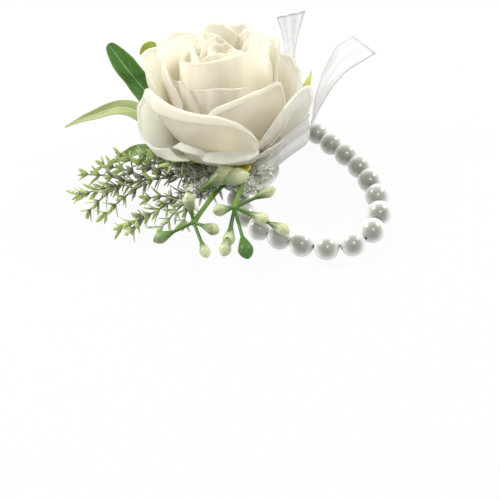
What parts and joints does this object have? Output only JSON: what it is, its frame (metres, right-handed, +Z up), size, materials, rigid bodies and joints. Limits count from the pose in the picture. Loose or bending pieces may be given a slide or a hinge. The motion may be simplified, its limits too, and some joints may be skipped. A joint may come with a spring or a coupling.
{
  "type": "wrist corsage",
  "caption": "Wrist corsage: a cloth rose with leaves, needle twigs, berry sprays and sheer ribbon, glued on a felt pad with a stretch bracelet of pearls.",
  "frame": {"origin": "centre of the underside of the felt pad, below the line where the bracelet's elastic passes through the glue", "axes": "+Z up from the pad through the rose, +X towards the far side of the pearl loop, +Y away from the viewer"},
  "size_m": [0.1102, 0.0955, 0.052],
  "materials": {
    "felt": "pressed white felt",
    "glue": "set hot glue, milky and glossy",
    "elastic": "round white stretch cord",
    "pearl": "imitation pearl, silver white with a soft shine",
    "petal_cloth": "ivory flower cloth, warmer towards the heart, fine wrinkles",
    "peg": "pale green moulded plastic with a foam heart",
    "calyx": "yellow green to mustard moulded plastic",
    "leaf_dark": "printed leaf cloth, dark green with pale veins",
    "leaf_pale": "printed leaf cloth, pale green with fine veins",
    "needle": "moulded twigs, lime tips and grey flocked bases",
    "berry": "moulded stems, green, with cream to green glossy buds",
    "organza": "sheer white organza with fine selvedges"
  },
  "bodies": {
    "root": {"felt_pad": "felt", "glue_mound": "glue", "outer_petals": "petal_cloth", "open_petals": "petal_cloth", "cup_petals": "petal_cloth", "shoulder_petals": "petal_cloth", "bud_petals": "petal_cloth", "heart_petals": "petal_cloth", "rose_peg": "peg", "calyx": "calyx", "dark_leaf": "leaf_dark", "pale_leaf": "leaf_pale", "small_leaf": "leaf_dark", "curled_leaf": "leaf_pale", "needle_twig_long": "needle", "needle_twig_low": "needle", "needle_twig_front": "needle", "needle_twig_grey": "needle", "berry_spray_left": "berry", "berry_spray_right": "berry", "berry_stem_top": "berry", "ribbon_loop": "organza", "ribbon_tail_back": "organza", "ribbon_tail_side": "organza", "ribbon_knot": "organza"},
    "bracelet": {"elastic_cord": "elastic"},
    "pearl_01": {"pearl_01": "pearl"},
    "pearl_02": {"pearl_02": "pearl"},
    "pearl_03": {"pearl_03": "pearl"},
    "pearl_04": {"pearl_04": "pearl"},
    "pearl_05": {"pearl_05": "pearl"},
    "pearl_06": {"pearl_06": "pearl"},
    "pearl_07": {"pearl_07": "pearl"},
    "pearl_08": {"pearl_08": "pearl"},
    "pearl_09": {"pearl_09": "pearl"},
    "pearl_10": {"pearl_10": "pearl"},
    "pearl_11": {"pearl_11": "pearl"},
    "pearl_12": {"pearl_12": "pearl"},
    "pearl_13": {"pearl_13": "pearl"},
    "pearl_14": {"pearl_14": "pearl"},
    "pearl_15": {"pearl_15": "pearl"},
    "pearl_16": {"pearl_16": "pearl"},
    "pearl_17": {"pearl_17": "pearl"},
    "pearl_18": {"pearl_18": "pearl"}
  },
  "joints": [
    {"name": "bracelet_swing", "type": "hinge", "parent": "root", "child": "bracelet", "pos_m": [0, 0, 0.004], "axis": [0.2874, 0.9578, 0], "range_deg": [0, 90]},
    {"name": "stretch_01", "type": "slide", "parent": "bracelet", "child": "pearl_01", "axis": [-0.2874, -0.9578, 0], "range_m": [0, 0.00563]},
    {"name": "stretch_02", "type": "slide", "parent": "bracelet", "child": "pearl_02", "axis": [-0.1594, -0.9872, 0], "range_m": [0, 0.00796]},
    {"name": "stretch_03", "type": "slide", "parent": "bracelet", "child": "pearl_03", "axis": [-0.025, -0.9997, 0], "range_m": [0, 0.01013]},
    {"name": "stretch_04", "type": "slide", "parent": "bracelet", "child": "pearl_04", "axis": [0.1173, -0.9931, 0], "range_m": [0, 0.01206]},
    {"name": "stretch_05", "type": "slide", "parent": "bracelet", "child": "pearl_05", "axis": [0.2353, -0.9719, 0], "range_m": [0, 0.01401]},
    {"name": "stretch_06", "type": "slide", "parent": "bracelet", "child": "pearl_06", "axis": [0.3485, -0.9373, 0], "range_m": [0, 0.01577]},
    {"name": "stretch_07", "type": "slide", "parent": "bracelet", "child": "pearl_07", "axis": [0.4684, -0.8835, 0], "range_m": [0, 0.01702]},
    {"name": "stretch_08", "type": "slide", "parent": "bracelet", "child": "pearl_08", "axis": [0.5918, -0.8061, 0], "range_m": [0, 0.01714], "stiffness_N_per_m": 280, "deforming": ["elastic_cord"]},
    {"name": "stretch_09", "type": "slide", "parent": "bracelet", "child": "pearl_09", "axis": [0.6981, -0.716, 0], "range_m": [0, 0.01628]},
    {"name": "stretch_10", "type": "slide", "parent": "bracelet", "child": "pearl_10", "axis": [0.7877, -0.616, 0], "range_m": [0, 0.01492]},
    {"name": "stretch_11", "type": "slide", "parent": "bracelet", "child": "pearl_11", "axis": [0.8654, -0.5011, 0], "range_m": [0, 0.01338]},
    {"name": "stretch_12", "type": "slide", "parent": "bracelet", "child": "pearl_12", "axis": [0.9337, -0.3581, 0], "range_m": [0, 0.0119]},
    {"name": "stretch_13", "type": "slide", "parent": "bracelet", "child": "pearl_13", "axis": [0.983, -0.1838, 0], "range_m": [0, 0.01044]},
    {"name": "stretch_14", "type": "slide", "parent": "bracelet", "child": "pearl_14", "axis": [0.9994, 0.0353, 0], "range_m": [0, 0.00917]},
    {"name": "stretch_15", "type": "slide", "parent": "bracelet", "child": "pearl_15", "axis": [0.9526, 0.3041, 0], "range_m": [0, 0.00856]},
    {"name": "stretch_16", "type": "slide", "parent": "bracelet", "child": "pearl_16", "axis": [0.8245, 0.5658, 0], "range_m": [0, 0.00783]},
    {"name": "stretch_17", "type": "slide", "parent": "bracelet", "child": "pearl_17", "axis": [0.6156, 0.7881, 0], "range_m": [0, 0.00665]},
    {"name": "stretch_18", "type": "slide", "parent": "bracelet", "child": "pearl_18", "axis": [0.3488, 0.9372, 0], "range_m": [0, 0.00487]}
  ],
  "couplings": [
    {"joint": "stretch_01", "follows": "stretch_08", "ratio": 0.32723},
    {"joint": "stretch_02", "follows": "stretch_08", "ratio": 0.46317},
    {"joint": "stretch_03", "follows": "stretch_08", "ratio": 0.59012},
    {"joint": "stretch_04", "follows": "stretch_08", "ratio": 0.70272},
    {"joint": "stretch_05", "follows": "stretch_08", "ratio": 0.81608},
    {"joint": "stretch_06", "follows": "stretch_08", "ratio": 0.91897},
    {"joint": "stretch_07", "follows": "stretch_08", "ratio": 0.99211},
    {"joint": "stretch_09", "follows": "stretch_08", "ratio": 0.94849},
    {"joint": "stretch_10", "follows": "stretch_08", "ratio": 0.86947},
    {"joint": "stretch_11", "follows": "stretch_08", "ratio": 0.77974},
    {"joint": "stretch_12", "follows": "stretch_08", "ratio": 0.69302},
    {"joint": "stretch_13", "follows": "stretch_08", "ratio": 0.60773},
    {"joint": "stretch_14", "follows": "stretch_08", "ratio": 0.53405},
    {"joint": "stretch_15", "follows": "stretch_08", "ratio": 0.49824},
    {"joint": "stretch_16", "follows": "stretch_08", "ratio": 0.45552},
    {"joint": "stretch_17", "follows": "stretch_08", "ratio": 0.38706},
    {"joint": "stretch_18", "follows": "stretch_08", "ratio": 0.28277}
  ]
}
